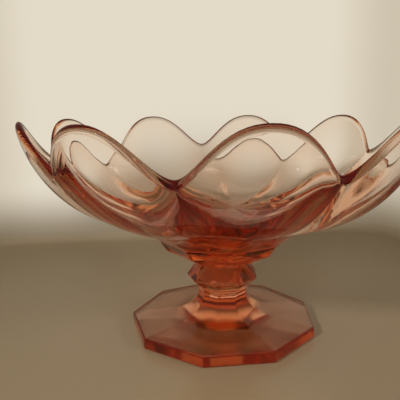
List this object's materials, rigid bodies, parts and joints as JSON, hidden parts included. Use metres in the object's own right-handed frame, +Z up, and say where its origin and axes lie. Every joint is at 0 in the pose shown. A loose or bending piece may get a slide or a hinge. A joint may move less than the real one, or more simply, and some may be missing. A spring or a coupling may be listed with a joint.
{
  "type": "footed candy dish",
  "caption": "Footed pressed-glass dish: a wide bowl of rounded petals on a faceted collar, a many-sided knop and a flat many-sided foot.",
  "frame": {"origin": "centre of the flat underside of the foot, on the surface that the dish stands on", "axes": "+Z up through the middle of the foot, the knop and the bowl; one petal faces -Y; X across"},
  "size_m": [0.247, 0.2447, 0.1397],
  "materials": {
    "pink_glass": "clear pink glass, fire-polished, that deepens to salmon red where it is thick"
  },
  "bodies": {
    "root": {"bowl": "pink_glass", "collar": "pink_glass", "knop": "pink_glass", "foot": "pink_glass"}
  },
  "joints": []
}
